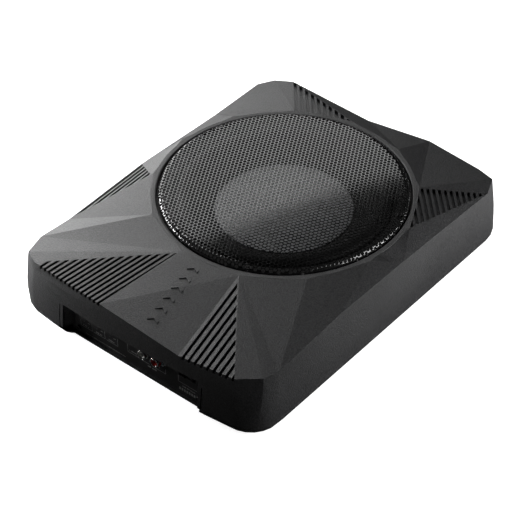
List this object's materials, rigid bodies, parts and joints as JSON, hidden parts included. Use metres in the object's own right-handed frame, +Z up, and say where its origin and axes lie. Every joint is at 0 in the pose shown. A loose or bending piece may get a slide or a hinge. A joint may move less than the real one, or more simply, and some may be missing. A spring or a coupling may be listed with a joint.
{
  "type": "powered car subwoofer",
  "caption": "Slim active car subwoofer: faceted housing on a base tray, shallow woofer under a domed perforated grille, amplifier, and a recessed panel of knobs and sockets.",
  "frame": {"origin": "centre of the enclosure's footprint, on the plane of its underside", "axes": "+X towards the right seen from the connector end, +Y from the connector end to the back, +Z up out of the grille"},
  "size_m": [0.257, 0.3429, 0.0737],
  "materials": {
    "housing_black": "satin cast texture",
    "tray_black": "satin",
    "mesh_black": "satin powder coat",
    "ring_black": "satin",
    "gasket_foam": "matt",
    "basket_steel": "semi-gloss",
    "screw_black": "black oxide",
    "surround_rubber": "matt",
    "cone_black": "fibre",
    "cap_grey": "satin",
    "former_paper": "matt",
    "copper_wire": "enamelled",
    "spider_cloth": "woven",
    "steel": "zinc plated",
    "ferrite": "matt",
    "terminal_black": "matt",
    "wire_red": "satin",
    "panel_black": "satin",
    "socket_black": "satin",
    "nickel": "bright",
    "insert_white": "gloss",
    "insert_red": "gloss",
    "contact_brass": "bright",
    "led_clear": "clear",
    "knob_black": "satin",
    "pot_green": "satin",
    "board_green": "solder mask",
    "aluminium": "extruded",
    "capacitor_sleeve": "gloss",
    "core_yellow": "matt",
    "bobbin_tan": "tape",
    "header_white": "satin"
  },
  "bodies": {
    "enclosure": {"upper_housing": "housing_black", "base_tray": "tray_black", "mount_inserts": "contact_brass", "housing_screws": "screw_black", "grille_mesh": "mesh_black", "grille_seat_ring": "ring_black", "flange_gasket": "gasket_foam", "woofer_basket": "basket_steel", "woofer_screws": "screw_black", "surround": "surround_rubber", "spider": "spider_cloth", "top_plate": "steel", "magnet": "ferrite", "pole_yoke": "steel", "terminal_block": "terminal_black", "tinsel_leads": "copper_wire", "speaker_wires": "wire_red", "connector_panel": "panel_black", "panel_screws": "screw_black", "rca_block": "socket_black", "rca_sleeves": "nickel", "rca_insert_white": "insert_white", "rca_insert_red": "insert_red", "power_connector": "socket_black", "power_pins": "contact_brass", "remote_socket": "socket_black", "remote_pins": "contact_brass", "power_led": "led_clear", "control_pots": "pot_green", "pot_bushings": "nickel", "amplifier_board": "board_green", "board_standoffs": "contact_brass", "heat_sink": "aluminium", "power_transistors": "socket_black", "filter_capacitors": "capacitor_sleeve", "choke_core": "core_yellow", "choke_winding": "copper_wire", "transformer_core": "ferrite", "transformer_bobbin": "bobbin_tan", "speaker_header": "header_white"},
    "cone_assembly": {"cone": "cone_black", "dust_cap": "cap_grey", "voice_coil_former": "former_paper", "voice_coil_winding": "copper_wire"},
    "boost_knob": {"boost_knob": "knob_black"},
    "low_pass_knob": {"low_pass_knob": "knob_black"},
    "gain_knob": {"gain_knob": "knob_black"}
  },
  "joints": [
    {"name": "cone_travel", "type": "slide", "parent": "enclosure", "child": "cone_assembly", "axis": [0, 0, 1], "range_m": [-0.004, 0.004], "stiffness_N_per_m": 3000, "deforming": ["surround", "spider", "tinsel_leads"]},
    {"name": "boost_turn", "type": "hinge", "parent": "enclosure", "child": "boost_knob", "pos_m": [-0.0546, -0.16, 0.026], "axis": [0, -1, 0], "range_deg": [-150, 150]},
    {"name": "low_pass_turn", "type": "hinge", "parent": "enclosure", "child": "low_pass_knob", "pos_m": [-0.0406, -0.16, 0.026], "axis": [0, -1, 0], "range_deg": [-150, 150]},
    {"name": "gain_turn", "type": "hinge", "parent": "enclosure", "child": "gain_knob", "pos_m": [-0.0266, -0.16, 0.026], "axis": [0, -1, 0], "range_deg": [-150, 150]}
  ]
}
